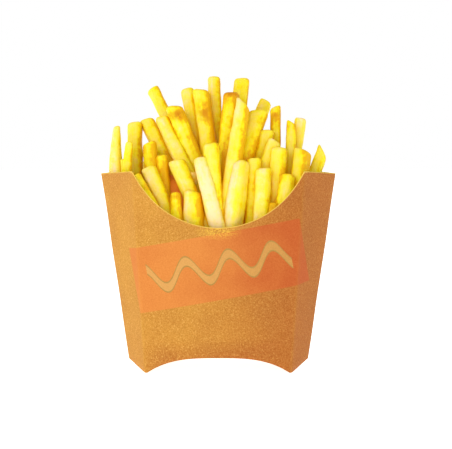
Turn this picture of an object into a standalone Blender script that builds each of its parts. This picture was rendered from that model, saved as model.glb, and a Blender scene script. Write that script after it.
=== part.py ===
"""French fries heaped in a folded kraft board scoop.

The scoop stands upright, X across its front, Y from front to back, Z up, with the origin on the
floor under its middle. Sizes are in millimetres and become metres where a mesh is made.
"""

import math
import random

import bmesh
import bpy
import numpy as np
from mathutils import Vector

MM = 0.001

# The scoop, in millimetres.
RIM_Z = 98.8
SIDE_TOP_Z = 97.1
SIDE_FOOT_Z = 4.0
RIM_HALF_FRONT = 41.3
FOOT_HALF_FRONT = 35.9
RIM_HALF_SIDE = 58.7
FOOT_HALF_SIDE = 45.3
RIM_HALF_DEPTH = 25.0
FOOT_HALF_DEPTH = 18.0
FRONT_BOW = 3.6
BACK_BOW = 1.8
SCOOP_DEPTH = 27.0
SCOOP_ROUND = 0.71
ARCH_RISE = 8.0
ARCH_POWER = 3.0
STANDING_STRIP = 1.0
BOARD = 0.5
PANEL_COLUMNS = 28
GUSSET_COLUMNS = 2
WALL_ROWS = 5

# The heap, in millimetres. FRY_ROUNDING is how far the flat of a fry's side reaches to its corner,
# and SPARE is room it keeps to each side, as a share of its width.
GAP = 0.35
CORE_FLOOR_Z = 9.2
CORE_TOP_Z = 66.0
CORE_INSET = 1.3
FOOT_Z = 60.0
FRY_ROUNDING = 0.62
SPARE = 0.03
NUDGE = 0.99
LEAST_DROP = 0.8
SETTLE_AT = (0.25, 0.5, 0.75, 1.0)
RINGS = (0.0, 0.34, 0.64, 0.9, 1.0)
TAPER_FROM = 0.6
END_SHRINK = 0.80
LEAN_OVER = 0.15
NEAR_SHARE = 0.01
SPREAD_AT = (0.25, 0.4, 0.55, 0.7, 0.85, 1.0)
SPREAD_ROUNDS = 60
SPREAD_STEP = 0.22
MOST_MOVE = 1.0

# The fries that fill the heap have their tips under a dome, and their waists this far below them.
DOME_Z = 124.0
DOME_FALL = 0.0108
WAIST_BELOW = 16.0
LEAN_OUT = 0.12
MOST_LEAN = 3.5
SHUFFLE = 1.6
UNEVEN = 9.0
FILL_WIDTHS = (5.6, 7.2)
FILL_TURN = 40.0
FILL_POINTS = (0.0, 0.1, 0.5)
FILL_CUT = 0.4
SEED = 11

# Each fry that shows from the front: where its tip is, where it sinks into the heap, its width,
# its turn about its own length in degrees, how pointed its tip is and how slanted its end is.
SHOWN = [
    ((-50.6, 3, 120.6), (-51, 1, 100.7), 7.6, 15, 0.55, 0.1),
    ((-47.3, -3, 104.3), (-46.8, -3, 99.3), 4.8, 10, 0.5, -0.1),
    ((-42.4, 12, 122.4), (-42.1, 9, 103.5), 7.2, 10, 0.0, 0.1),
    ((-43.8, -5, 112.7), (-44.8, -6, 100.9), 5.4, 0, 0.3, 0),
    ((-36.9, 14, 123.4), (-31.7, 10, 114.1), 8.0, 0, 0.05, -0.2),
    ((-34.4, -2, 112.2), (-33.2, -6, 98.9), 6.8, 10, 0, 0.3),
    ((-33.9, 17, 139.9), (-27.2, 14, 126.2), 6.4, 5, 0, 0.2),
    ((-28.6, 4, 124.5), (-13.7, -10, 93.7), 7.6, 0, 0.1, -0.2),
    ((-22.3, 4, 130.3), (-13.9, 0, 108.7), 8.4, 5, 0, -0.3),
    ((-15.8, 14, 139.4), (-11.9, 8, 118.6), 7.6, 15, 0.1, 0),
    ((-8.9, 7, 138.7), (-5.5, 2, 113.6), 8.4, 10, 0, -0.2),
    ((-2.4, 15, 145.4), (-1.3, 10, 118.6), 6.7, 0, 0.05, 0),
    ((6.6, 6, 137.2), (3.8, 0, 108.7), 8.0, 10, 0, 0.1),
    ((11.9, 18, 144.6), (10.6, 15, 128.8), 7.6, 5, 0, 0.1),
    ((12.4, 2, 132.2), (6.5, -9, 95.1), 8.0, 15, 0.15, -0.7),
    ((24.5, 17, 133.6), (19.3, 15, 121.2), 8.0, 10, 0.2, -0.1),
    ((20.1, 4, 127.6), (13.9, -3, 108.7), 9.4, 10, 0, 0.33),
    ((28.6, 13, 130), (28.7, 9, 113.6), 5.4, 5, 0, 0.4),
    ((24.6, 1, 118.6), (21.7, 0, 106.2), 7.0, 10, 0, 0.2),
    ((28.2, -3, 113.2), (22.8, -5, 99.4), 7.4, 0, 0, -0.2),
    ((30.1, -9, 109.8), (28.7, -12, 91.8), 8.2, 15, 0.05, 0),
    ((36.5, 5, 122.4), (36.1, 0, 107.7), 6.2, 0, 0.25, -0.5),
    ((41.5, 12, 124.5), (39.5, 10, 112.6), 6.4, 10, 0.1, 0.0),
    ((41.7, -6, 108.8), (39.1, -12, 89.3), 8.0, 35, 0, -0.3),
    ((52, 1, 108.4), (48.8, 0, 99.7), 6.6, 10, 0.1, -0.9),
    ((-34.5, -15, 100.4), (-28.3, -17, 87.2), 7.2, 10, 0, -0.1),
    ((-39.6, -13, 97), (-34.2, -15, 86.6), 5.0, 20, 0.3, 0),
    ((-28.1, -9, 105.9), (-26.6, -12, 90.8), 5.8, 10, 0, 0.1),
    ((-20.8, -6, 103.7), (-14.4, -9, 89.2), 8.4, 10, 0, -0.2),
    ((-20.7, -17, 88.4), (-20.2, -19, 78.1), 5.8, 20, 0.2, 0),
    ((-12.2, -19, 89), (-11.7, -20, 76.7), 10.0, 20, 0.15, -0.2),
    ((-8.5, -14, 104.5), (-3, -20, 82.5), 8.0, 5, 0.05, -0.1),
    ((-3.6, -8, 111.5), (-1.9, -14, 88.5), 7.8, 5, 0, 0.1),
    ((4.7, -3, 108.2), (4.2, -11, 84.4), 6.4, 0, 0.1, 0),
    ((11.3, -15, 103.1), (8.2, -20, 81.5), 9.2, 35, 0.15, 0.1),
    ((17.6, -13, 104.6), (16.5, -17, 79.9), 7.2, 10, 0, 0.1),
    ((22.3, -16, 99.5), (21.1, -20, 79.6), 7.8, 10, 0, 0.1),
    ((34.1, -15, 96.5), (32.6, -18, 85.8), 8.4, 15, 0.1, 0),
    ((26.9, -20, 83.5), (26.4, -20.5, 79.1), 5.4, 10, 0.2, 0),
]

# Rows of fries behind and between those: depth, how far each side of the middle they reach,
# their number, and how far their tips stay under the dome of the heap.
FILL_ROWS = [
    (19.0, 36.0, 10, 2.0),
    (11.0, 38.0, 9, 5.0),
    (2.0, 41.0, 9, 12.0),
    (-9.0, 34.0, 7, 24.0),
]


def between(low, high, share):
    return low + (high - low) * share


def half_front(z):
    """Half the width of the front and the back panel at this height."""
    return between(FOOT_HALF_FRONT, RIM_HALF_FRONT, z / RIM_Z)


def half_depth(z):
    """Distance from the middle to the upright folds of the front and the back panel."""
    return between(FOOT_HALF_DEPTH, RIM_HALF_DEPTH, z / RIM_Z)


def half_side(z):
    """Half the width across the outermost folds."""
    return between(FOOT_HALF_SIDE, RIM_HALF_SIDE, (z - SIDE_FOOT_Z) / (SIDE_TOP_Z - SIDE_FOOT_Z))


def arch(across):
    """Height of the arched bottom fold, for -1 to 1 across the panel."""
    share = min(1.0, abs(across) / (1.0 - STANDING_STRIP / FOOT_HALF_FRONT))
    return ARCH_RISE * (1.0 - share**ARCH_POWER)


def scoop(across):
    """Height of the front panel's scooped top edge."""
    rise = SCOOP_ROUND * across**2 + (1.0 - SCOOP_ROUND) * across**6
    return RIM_Z - SCOOP_DEPTH * (1.0 - rise)


def panel_column(across, side, top):
    """Points up the front (side -1) or the back (side 1) panel."""
    bow = (FRONT_BOW if side < 0 else BACK_BOW) * (1.0 - across**2)
    low = arch(across)
    heights = [between(low, top, row / WALL_ROWS) for row in range(WALL_ROWS + 1)]
    return [Vector((across * half_front(z), side * (half_depth(z) + bow), z)) for z in heights]


def gusset_column(share, hand, side):
    """Points up a folded side, from the panel's fold (share 0) to the outermost one (share 1)."""
    column = []
    for row in range(WALL_ROWS + 1):
        low = row / WALL_ROWS * RIM_Z
        high = between(SIDE_FOOT_Z, SIDE_TOP_Z, row / WALL_ROWS)
        inner = Vector((hand * half_front(low), side * half_depth(low), low))
        outer = Vector((hand * half_side(high), 0.0, high))
        column.append(inner.lerp(outer, share))
    return column


def wall_columns():
    """Every column of the wall, once round from the front panel's left fold."""
    steps = range(PANEL_COLUMNS + 1)
    across = [-math.cos(math.pi * step / PANEL_COLUMNS) for step in steps]
    columns = [panel_column(u, -1, scoop(u)) for u in across]
    shares = [step / GUSSET_COLUMNS for step in range(1, GUSSET_COLUMNS + 1)]
    columns += [gusset_column(share, 1, -1) for share in shares]
    columns += [gusset_column(share, 1, 1) for share in reversed(shares[:-1])]
    columns += [panel_column(-u, 1, RIM_Z) for u in across]
    columns += [gusset_column(share, -1, 1) for share in shares]
    columns += [gusset_column(share, -1, -1) for share in reversed(shares[:-1])]
    return columns


def make_material(name, colour, roughness):
    material = bpy.data.materials.new(name)
    material.use_nodes = True
    shader = material.node_tree.nodes["Principled BSDF"]
    shader.inputs["Base Color"].default_value = (*colour, 1.0)
    shader.inputs["Roughness"].default_value = roughness
    shader.inputs["Metallic"].default_value = 0.0
    return material


def add_object(name, bm, material):
    bmesh.ops.recalc_face_normals(bm, faces=bm.faces)
    mesh = bpy.data.meshes.new(name)
    bm.to_mesh(mesh)
    bm.free()
    obj = bpy.data.objects.new(name, mesh)
    obj.data.materials.append(material)
    bpy.context.scene.collection.objects.link(obj)
    return obj


def make_carton(material):
    """The board scoop: four folded walls and an arched bottom, open at the top."""
    bm = bmesh.new()
    columns = [[bm.verts.new(point * MM) for point in column] for column in wall_columns()]
    for here, after in zip(columns, columns[1:] + columns[:1]):
        for row in range(WALL_ROWS):
            bm.faces.new((here[row], after[row], after[row + 1], here[row + 1]))
    feet = [column[0] for column in columns]
    back = PANEL_COLUMNS + 2 * GUSSET_COLUMNS
    front_feet = feet[: PANEL_COLUMNS + 1]
    back_feet = feet[back : back + PANEL_COLUMNS + 1][::-1]
    for step in range(PANEL_COLUMNS):
        ring = (front_feet[step], back_feet[step], back_feet[step + 1], front_feet[step + 1])
        bm.faces.new(ring)
    bm.faces.new(feet[PANEL_COLUMNS : back + 1])
    bm.faces.new(feet[back + PANEL_COLUMNS :] + feet[:1])
    carton = add_object("carton", bm, material)
    board = carton.modifiers.new("Board", "SOLIDIFY")
    board.thickness = BOARD * MM
    board.offset = -1.0
    board.use_even_offset = True
    return carton


def room(x, z, half):
    """How far to the front or back the middle of a bar this thick may lie in the scoop."""
    edge = abs(x) + half
    fold = half_front(z)
    if edge <= fold:
        return half_depth(z) - BOARD - GAP - half
    slope = half_depth(z) / (half_side(z) - fold)
    return (half_side(z) - edge) * slope - (BOARD + GAP) * math.hypot(1.0, slope) - half


def held_inside(point, half):
    """The point, moved in as far as the scoop needs."""
    x, y, z = point
    while room(x, z, half) < 0.0:
        x *= NUDGE
    depth = room(x, z, half)
    return Vector((x, max(-depth, min(depth, y)), z))


def overhang(point, half):
    """How far a point is out through the front or back wall, or past what may lean over it."""
    depth = room(point.x, min(point.z, RIM_Z), half)
    return abs(point.y) - depth - max(0.0, point.z - RIM_Z) * LEAN_OVER


class Fry:
    """One fry: a squared bar along a gentle curve through its foot, waist and tip."""

    def __init__(self, tip, waist, width, turn, point, cut):
        self.tip = Vector(tip)
        self.waist = Vector(waist)
        self.width = width
        self.turn = math.radians(turn)
        corner = math.cos(self.turn) + FRY_ROUNDING * abs(math.sin(self.turn))
        self.half_span = width * (corner / 2 + SPARE)
        self.point = point
        self.cut = cut
        down = (self.waist - self.tip).normalized()
        down.z = min(down.z, -LEAST_DROP)
        self.foot = self.waist + down * ((FOOT_Z - self.waist.z) / down.z)
        self.settle()

    def settle(self):
        """Moves the fry in until the scoop's walls clear it."""
        self.foot = held_inside(self.foot, self.half_span)
        for share in SETTLE_AT:
            point = self.spine(share)
            out = max(0.0, overhang(point, self.half_span))
            self.waist.y -= math.copysign(out, point.y)
            self.tip.y -= math.copysign(out, point.y)

    def shift(self, back):
        for point in (self.foot, self.waist, self.tip):
            point.y += back
        self.settle()

    def spine(self, share):
        """The curve's point, with share 0 at the foot and 1 at the tip."""
        low = (self.waist - self.foot).length
        at = low / (low + (self.tip - self.waist).length)
        ends = self.foot * (1.0 - at) ** 2 + self.tip * at**2
        control = (self.waist - ends) / (2.0 * at * (1.0 - at))
        rest = 1.0 - share
        return self.foot * rest**2 + control * (2.0 * rest * share) + self.tip * share**2

    def direction(self, share):
        return (self.spine(share + NEAR_SHARE) - self.spine(share - NEAR_SHARE)).normalized()


def spread_apart(fries):
    """Moves fries that run through each other apart, from front to back only."""
    widths = np.array([fry.width for fry in fries])
    needed = (widths[:, None] + widths[None, :]) * 0.5
    for _ in range(SPREAD_ROUNDS):
        points = np.array([[fry.spine(share) for share in SPREAD_AT] for fry in fries])
        steps = points[:, None, :, None, :] - points[None, :, None, :, :]
        distance = np.linalg.norm(steps, axis=-1).reshape(len(fries), len(fries), -1)
        nearest = distance.argmin(axis=-1)
        close = np.take_along_axis(distance, nearest[..., None], axis=-1)[..., 0]
        depths = steps[..., 1].reshape(distance.shape)
        depth = np.take_along_axis(depths, nearest[..., None], axis=-1)[..., 0]
        overlap = np.clip(needed - close, 0.0, None)
        np.fill_diagonal(overlap, 0.0)
        moves = (np.sign(depth) * overlap).sum(axis=1) * SPREAD_STEP
        for fry, move in zip(fries, moves):
            fry.shift(float(max(-MOST_MOVE, min(MOST_MOVE, move))))


def make_fries():
    """All the fries of the heap, the measured ones first and the filling ones after them."""
    fries = [Fry(*row) for row in SHOWN]
    draw = random.Random(SEED)
    for depth, reach, count, under in FILL_ROWS:
        for step in range(count):
            x = between(-reach, reach, step / (count - 1)) + draw.uniform(-SHUFFLE, SHUFFLE)
            z = DOME_Z - DOME_FALL * x * x - under - draw.uniform(0.0, UNEVEN)
            lean = x * LEAN_OUT + draw.uniform(-MOST_LEAN, MOST_LEAN)
            tip = (x + lean, depth + draw.uniform(-SHUFFLE, SHUFFLE), z)
            waist = (x, depth + draw.uniform(-SHUFFLE, SHUFFLE), z - WAIST_BELOW)
            width = draw.uniform(*FILL_WIDTHS)
            turn = draw.uniform(-FILL_TURN, FILL_TURN)
            point = draw.choice(FILL_POINTS)
            cut = draw.uniform(-FILL_CUT, FILL_CUT)
            fries.append(Fry(tip, waist, width, turn, point, cut))
    spread_apart(fries)
    return fries


def section():
    """Corner points of a square section with its corners taken off."""
    c = FRY_ROUNDING
    return [(1, -c), (1, c), (c, 1), (-c, 1), (-1, c), (-1, -c), (-c, -1), (c, -1)]


def add_fry(bm, fry):
    rings = []
    across = Vector((math.cos(fry.turn), -math.sin(fry.turn), 0.0))
    for share in RINGS:
        along = fry.direction(share)
        side = (across - along * across.dot(along)).normalized()
        front = side.cross(along)
        taper = max(0.0, (share - TAPER_FROM) / (1.0 - TAPER_FROM))
        size = fry.width * 0.5 * (1.0 - fry.point * taper)
        if share == 1.0:
            size *= END_SHRINK
        centre = fry.spine(share)
        ring = []
        for u, v in section():
            slant = along * (fry.cut * u * fry.width * 0.5 * share)
            ring.append(bm.verts.new((centre + side * (u * size) + front * (v * size) + slant) * MM))
        rings.append(ring)
    for low, high in zip(rings, rings[1:]):
        for index in range(len(low)):
            after = (index + 1) % len(low)
            bm.faces.new((low[index], low[after], high[after], high[index]))
    bm.faces.new(rings[0][::-1])
    bm.faces.new(rings[-1])


def core_ring(bm, z):
    """One level of the heap's core, just inside the folded walls."""
    fold = half_front(z) - CORE_INSET * 0.5
    depth = half_depth(z) - CORE_INSET
    reach = half_side(z) - CORE_INSET * 1.5
    outline = [(-fold, -depth), (fold, -depth), (reach, 0), (fold, depth), (-fold, depth), (-reach, 0)]
    return [bm.verts.new(Vector((x, y, z)) * MM) for x, y in outline]


def make_core(material):
    bm = bmesh.new()
    low = core_ring(bm, CORE_FLOOR_Z)
    high = core_ring(bm, CORE_TOP_Z)
    for index in range(len(low)):
        after = (index + 1) % len(low)
        bm.faces.new((low[index], low[after], high[after], high[index]))
    bm.faces.new(low[::-1])
    bm.faces.new(high)
    return add_object("fries", bm, material)


def keep_outer_body(mesh):
    """Drops the loose scraps and fills the sealed hollows that fusing leaves."""
    bm = bmesh.new()
    bm.from_mesh(mesh)
    islands = []
    waiting = set(bm.verts)
    while waiting:
        island = set()
        edge = [waiting.pop()]
        while edge:
            vert = edge.pop()
            island.add(vert)
            near = {link.other_vert(vert) for link in vert.link_edges}
            edge += near & waiting
            waiting -= near
        islands.append(island)
    largest = max(islands, key=len)
    bmesh.ops.delete(bm, geom=[vert for vert in bm.verts if vert not in largest], context="VERTS")
    bm.to_mesh(mesh)
    bm.free()


def make_heap(material):
    """The core with every fry fused on."""
    core = make_core(material)
    loose = bpy.data.collections.new("loose_fries")
    for number, fry in enumerate(make_fries()):
        bm = bmesh.new()
        add_fry(bm, fry)
        piece = add_object(f"fry_{number}", bm, material)
        bpy.context.scene.collection.objects.unlink(piece)
        loose.objects.link(piece)
    fuse = core.modifiers.new("Fuse", "BOOLEAN")
    fuse.operation = "UNION"
    fuse.operand_type = "COLLECTION"
    fuse.collection = loose
    bpy.context.view_layer.update()
    graph = bpy.context.evaluated_depsgraph_get()
    fused = bpy.data.meshes.new_from_object(core.evaluated_get(graph))
    core.modifiers.clear()
    keep_outer_body(fused)
    core.data = fused
    for piece in list(loose.objects):
        bpy.data.objects.remove(piece)
    bpy.data.collections.remove(loose)
    return core


def main():
    for obj in list(bpy.data.objects):
        bpy.data.objects.remove(obj)
    make_carton(make_material("Kraft board", (0.72, 0.29, 0.07), 0.75))
    make_heap(make_material("Fried potato", (0.93, 0.68, 0.12), 0.45))


main()
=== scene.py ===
"""Looks of a folded kraft board scoop heaped with french fries.

Sizes are in millimetres, X across the front, Y from front to back, Z up from the floor, and
become metres where a mesh is made. The scoop and the heap follow the same sizes as the solids.
"""

import math
import random

import bmesh
import bpy
import numpy as np
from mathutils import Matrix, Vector, noise
from mathutils.bvhtree import BVHTree


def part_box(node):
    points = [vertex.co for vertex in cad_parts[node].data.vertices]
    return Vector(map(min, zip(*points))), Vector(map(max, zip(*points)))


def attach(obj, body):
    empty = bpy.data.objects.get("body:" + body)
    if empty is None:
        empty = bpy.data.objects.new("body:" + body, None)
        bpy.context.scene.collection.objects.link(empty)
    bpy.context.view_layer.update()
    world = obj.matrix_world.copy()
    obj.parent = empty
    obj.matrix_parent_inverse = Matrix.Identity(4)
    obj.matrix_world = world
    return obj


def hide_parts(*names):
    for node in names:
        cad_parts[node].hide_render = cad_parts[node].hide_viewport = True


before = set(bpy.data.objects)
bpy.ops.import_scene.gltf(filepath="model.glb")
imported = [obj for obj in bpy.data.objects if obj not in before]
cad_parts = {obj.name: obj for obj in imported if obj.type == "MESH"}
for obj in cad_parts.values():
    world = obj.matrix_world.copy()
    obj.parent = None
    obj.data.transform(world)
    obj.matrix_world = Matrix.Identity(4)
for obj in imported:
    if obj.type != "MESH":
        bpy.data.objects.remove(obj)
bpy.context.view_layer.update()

MM = 0.001

# The scoop: its outline, its board, the columns and rows of its mesh, its wear, the painted highlight
# along its cut edge, and its warp.
carton_low, carton_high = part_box("carton")
RIM_Z = round(carton_high.z / MM, 1)
RIM_HALF_SIDE = round(carton_high.x / MM, 1)
SIDE_TOP_Z = 97.1
SIDE_FOOT_Z = 4.0
RIM_HALF_FRONT = 41.3
FOOT_HALF_FRONT = 35.9
FOOT_HALF_SIDE = 45.3
RIM_HALF_DEPTH = 25.0
FOOT_HALF_DEPTH = 18.0
FRONT_BOW = 3.6
BACK_BOW = 1.8
SCOOP_DEPTH = 27.0
SCOOP_ROUND = 0.71
ARCH_RISE = 8.0
ARCH_POWER = 3.0
STANDING_STRIP = 1.0
BOARD = 0.5
PANEL_COLUMNS = 64
GUSSET_COLUMNS = 8
WALL_ROWS = 30
CUT_EDGE = 0.45
SLOPE_STEP = 0.02
FOLD_RADIUS = 0.55
FOLD_WEAR = 0.03
EDGE_WEAR_AND_HIGHLIGHT = 0.9
WARP = 0.22
WARP_SIZE = 24.0
WARP_FROM_Z = 20.0
WARP_SIDEWAYS = 0.4

# The heap: the core under the fries, how the fries are kept clear of the board and apart, and the
# dome and the looks of those that fill in behind the measured ones.
GAP = 0.35
CORE_FLOOR_Z = 9.2
CORE_TOP_Z = 66.0
CORE_INSET = 1.3
CORE_LEVELS = 8
CORE_STEPS = 12
LUMP_HEIGHT = 2.5
LUMP_SIZE = 5.0
LUMPS_RISE = 10.0
FOOT_Z = 60.0
FRY_ROUNDING = 0.62
SPARE = 0.03
NUDGE = 0.99
LEAST_DROP = 0.8
SETTLE_AT = (0.25, 0.5, 0.75, 1.0)
TAPER_FROM = 0.6
LEAN_OVER = 0.15
SPREAD_AT = (0.25, 0.4, 0.55, 0.7, 0.85, 1.0)
SPREAD_ROUNDS = 60
SPREAD_STEP = 0.22
MOST_MOVE = 1.0
DOME_Z = 124.0
DOME_FALL = 0.0108
WAIST_BELOW = 16.0
LEAN_OUT = 0.12
MOST_LEAN = 3.5
SHUFFLE = 1.6
UNEVEN = 9.0
FILL_WIDTHS = (5.6, 7.2)
FILL_TURN = 40.0
FILL_POINTS = (0.0, 0.1, 0.5)
FILL_CUT = 0.4
FILL_PALES = (0.0, 0.8)
# The fillers' left sides are paler too: partly paler flesh, partly painted light from the left.
FILL_PALER_AND_LIT_LEFT = (0.0, 0.4)
FILL_BROWNS = (0.0, 0.0, 0.3, 0.7)
SEED = 11

# One fry: the sides and rings of its mesh, how square it is, and how far its rounded end reaches
# down, as a share of half its width.
FRY_SIDES = 24
FRY_RINGS = 36
CORNER_POWER = 3.4
END_ROUND = 0.45
END_RINGS = 5
BLANK_LENGTH = 20.0

# The relief of its surface, in millimetres, and the value of the noise that moves nothing.
RELIEF = 1.2
RELIEF_SIZE = 7.0
RELIEF_MIDDLE = 0.54

# How sunk a point is between its neighbours, which paints shade as a deeper golden crust in the
# seams: how far the rays from it reach, how many they are, where they start, and what they leave out.
SUNK_REACH = 7.0
SUNK_RAYS = 40
SUNK_LIFT = 0.25
SUNK_FROM_Z = 66.0
LEAST_FACING = 0.1
FAR_CLEARER = 0.5

# A browned spot: its length, in millimetres, and how wide it is and how far to the right, as
# shares of half the fry's width. Near the end of a fry it goes all the way across.
BROWN_LENGTH = 1.0
BROWN_LONGER = 0.4
BROWN_END_TO = 2.0
BROWN_HALF_END = 2.0
BROWN_HALF_SPOT = 0.7
BROWN_RIGHT = 0.2

# What the fries' mesh no longer needs once it is made.
SHAPE_ATTRIBUTES = ("foot", "control", "tip", "side", "half_width", "point", "cut", "set_back")

# Each level of the mound above the core: its height, and the shares of the heap's reach and depth
# that it has.
MOUND = [
    (74.0, 0.97, 0.66),
    (82.0, 0.92, 0.46),
    (89.0, 0.82, 0.3),
    (94.0, 0.66, 0.18),
    (97.0, 0.4, 0.08),
]

# Each fry that shows from the front: where its tip is, where it sinks into the heap, its width,
# its turn about its own length in degrees, how pointed its tip is, how slanted its end is, how
# pale it is, how much paler its left side is than its right (partly paler flesh, partly painted
# light from the left), how browned it is, and how far below its end the browned spot lies, where
# that isn't 1 mm.
SHOWN = [
    ((-50.6, 3, 120.6), (-51, 1, 100.7), 7.6, 15, 0.55, 0.1, 0.7, 0.2, 0.0),
    ((-47.3, -3, 104.3), (-46.8, -3, 99.3), 4.8, 10, 0.5, -0.1, 0.35, 0.1, 0.0),
    ((-42.4, 12, 122.4), (-42.1, 9, 103.5), 7.2, 10, 0.0, 0.1, 0.4, 0.2, 0.0),
    ((-43.8, -5, 112.7), (-44.8, -6, 100.9), 5.4, 0, 0.3, 0, 0.3, 0.1, 0.0),
    ((-36.9, 14, 123.4), (-31.7, 10, 114.1), 8.0, 0, 0.05, -0.2, 0.4, 0.2, 0.0),
    ((-34.4, -2, 112.2), (-33.2, -6, 98.9), 6.8, 10, 0, 0.3, 0.15, 0.1, 0.0),
    ((-33.9, 17, 139.9), (-27.2, 14, 126.2), 6.4, 5, 0, 0.2, 0.42, 0.2, 0.0),
    ((-28.6, 4, 124.5), (-13.7, -10, 93.7), 7.6, 0, 0.1, -0.2, 0.55, 0.2, 0.0),
    ((-22.3, 4, 130.3), (-13.9, 0, 108.7), 8.4, 5, 0, -0.3, 0.3, 0.2, 1.0, 3.6),
    ((-15.8, 14, 139.4), (-11.9, 8, 118.6), 7.6, 15, 0.1, 0, 0.5, 0.2, 0.0),
    ((-8.9, 7, 138.7), (-5.5, 2, 113.6), 8.4, 10, 0, -0.2, 0.35, 0.3, 0.7, 11),
    ((-2.4, 15, 145.4), (-1.3, 10, 118.6), 6.7, 0, 0.05, 0, 0.5, 0.4, 0.0),
    ((6.6, 6, 137.2), (3.8, 0, 108.7), 8.0, 10, 0, 0.1, 0.25, 0.1, 0.9, 0.6),
    ((11.9, 18, 144.6), (10.6, 15, 128.8), 7.6, 5, 0, 0.1, 0.38, 0.2, 0.0),
    ((12.4, 2, 132.2), (6.5, -9, 95.1), 8.0, 15, 0.15, -0.7, 0.5, 0.4, 0.0),
    ((24.5, 17, 133.6), (19.3, 15, 121.2), 8.0, 10, 0.2, -0.1, 0.45, 0.1, 0.0),
    ((20.1, 4, 127.6), (13.9, -3, 108.7), 9.4, 10, 0, 0.33, 0.42, 0.2, 0.0),
    ((28.6, 13, 130), (28.7, 9, 113.6), 5.4, 5, 0, 0.4, 0.3, 0.1, 0.6, 3.5),
    ((24.6, 1, 118.6), (21.7, 0, 106.2), 7.0, 10, 0, 0.2, 0.5, 0.2, 0.0),
    ((28.2, -3, 113.2), (22.8, -5, 99.4), 7.4, 0, 0, -0.2, 0.55, 0.1, 0.0),
    ((30.1, -9, 109.8), (28.7, -12, 91.8), 8.2, 15, 0.05, 0, 0.5, 0.2, 0.0),
    ((36.5, 5, 122.4), (36.1, 0, 107.7), 6.2, 0, 0.25, -0.5, 0.3, 0.1, 0.0),
    ((41.5, 12, 124.5), (39.5, 10, 112.6), 6.4, 10, 0.1, 0.0, 0.7, 0.1, 0.0),
    ((41.7, -6, 108.8), (39.1, -12, 89.3), 8.0, 35, 0, -0.3, 0.35, 0.4, 0.0),
    ((52, 1, 108.4), (48.8, 0, 99.7), 6.6, 10, 0.1, -0.9, 0.42, 0.1, 0.0),
    ((-34.5, -15, 100.4), (-28.3, -17, 87.2), 7.2, 10, 0, -0.1, 0.62, 0.3, 0.0),
    ((-39.6, -13, 97), (-34.2, -15, 86.6), 5.0, 20, 0.3, 0, 0.3, 0.0, 0.0),
    ((-28.1, -9, 105.9), (-26.6, -12, 90.8), 5.8, 10, 0, 0.1, 0.1, 0.1, 0.0),
    ((-20.8, -6, 103.7), (-14.4, -9, 89.2), 8.4, 10, 0, -0.2, 0.6, 0.2, 0.0),
    ((-20.7, -17, 88.4), (-20.2, -19, 78.1), 5.8, 20, 0.2, 0, 0.2, 0.0, 0.3),
    ((-12.2, -19, 89), (-11.7, -20, 76.7), 10.0, 20, 0.15, -0.2, 0.5, 0.45, 0.0),
    ((-8.5, -14, 104.5), (-3, -20, 82.5), 8.0, 5, 0.05, -0.1, 0.95, 0.1, 0.0),
    ((-3.6, -8, 111.5), (-1.9, -14, 88.5), 7.8, 5, 0, 0.1, 0.45, 0.2, 0.0),
    ((4.7, -3, 108.2), (4.2, -11, 84.4), 6.4, 0, 0.1, 0, -0.1, 0.0, 0.0),
    ((11.3, -15, 103.1), (8.2, -20, 81.5), 9.2, 35, 0.15, 0.1, 0.8, 0.3, 0.0),
    ((17.6, -13, 104.6), (16.5, -17, 79.9), 7.2, 10, 0, 0.1, 0.4, 0.0, 0.0),
    ((22.3, -16, 99.5), (21.1, -20, 79.6), 7.8, 10, 0, 0.1, 0.65, 0.2, 0.0),
    ((34.1, -15, 96.5), (32.6, -18, 85.8), 8.4, 15, 0.1, 0, 0.35, 0.1, 0.0),
    ((26.9, -20, 83.5), (26.4, -20.5, 79.1), 5.4, 10, 0.2, 0, 0.0, 0.0, 0.2),
]

# Rows of fries behind and between those: depth, how far each side of the middle they reach,
# their number, and how far their tips stay under the dome of the heap.
FILL_ROWS = [
    (19.0, 36.0, 10, 2.0),
    (11.0, 38.0, 9, 5.0),
    (2.0, 41.0, 9, 12.0),
    (-9.0, 34.0, 7, 24.0),
]

# Where the kraft turns darker and redder: to the right, as painted shade away from the key light, and
# above the arched fold but not out at its ends.
PAINTED_SHADE_X = (-12.0, 34.0)
REDDER_Z = (8.0, 18.0)
ARCH_END_X = (26.0, 36.0)

# The print: a tilted field across the front with a wavy stripe on it, in millimetres and degrees,
# how its edges fade, and how ragged they are. The stripe's are a share as ragged.
PRINT_BEFORE_Y = -2.0
FIELD_MIDDLE = (0.6, 53.0)
FIELD_WIDTH = 84.0
FIELD_HEIGHT = 32.0
FIELD_TILT = 10.3
WAVE_LENGTH = 21.0
WAVE_HEIGHT = 5.5
WAVE_STROKE = 4.0
WAVE_LINE = 0.7
WAVE_SHORT = 7.0
INK_FADE = 0.2
INK_RAGGED = 0.5
STRIPE_RAGGED = 0.6

# Yellow flecks on the front, round the lowest place of the scooped edge.
YELLOW_FLECKS_Z = 70.0
YELLOW_FLECKS_FLAT = 2.8
YELLOW_FLECKS_NEAR = 3.0
YELLOW_FLECKS_FAR = 12.0

# The stage: the camera in millimetres, the photograph's frame in pixels, the floor in metres.
CAMERA_PLACE = (3.75, -600.0, 118.0)
CAMERA_TARGET = (3.75, 0.0, 71.5)
FOCAL_PIXELS = 1203.6
IMAGE_WIDTH = 452
FLOOR_HALF = 3.0

# How many marks of each pattern go in a millimetre: on the board, and on the fries. Fibres and
# grain are drawn coarser than the real ones, so that they show in the render.
FIBRES = 1.7
CLOUDS = 0.045
FLECKS = 1.25
INK_EDGES = 6.5
COAT_FIBRES = 0.9
CUT_FIBRES = 2.2
PATCHES = 0.12
GRAINS = 1.3
LUMPS = 0.38
BLOTS = 0.42

# How many streaks go in half the width of a fry, and how far each fry's are drawn from the last's.
STREAKS = 2.4
OWN_STREAKS = 3.7

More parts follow.
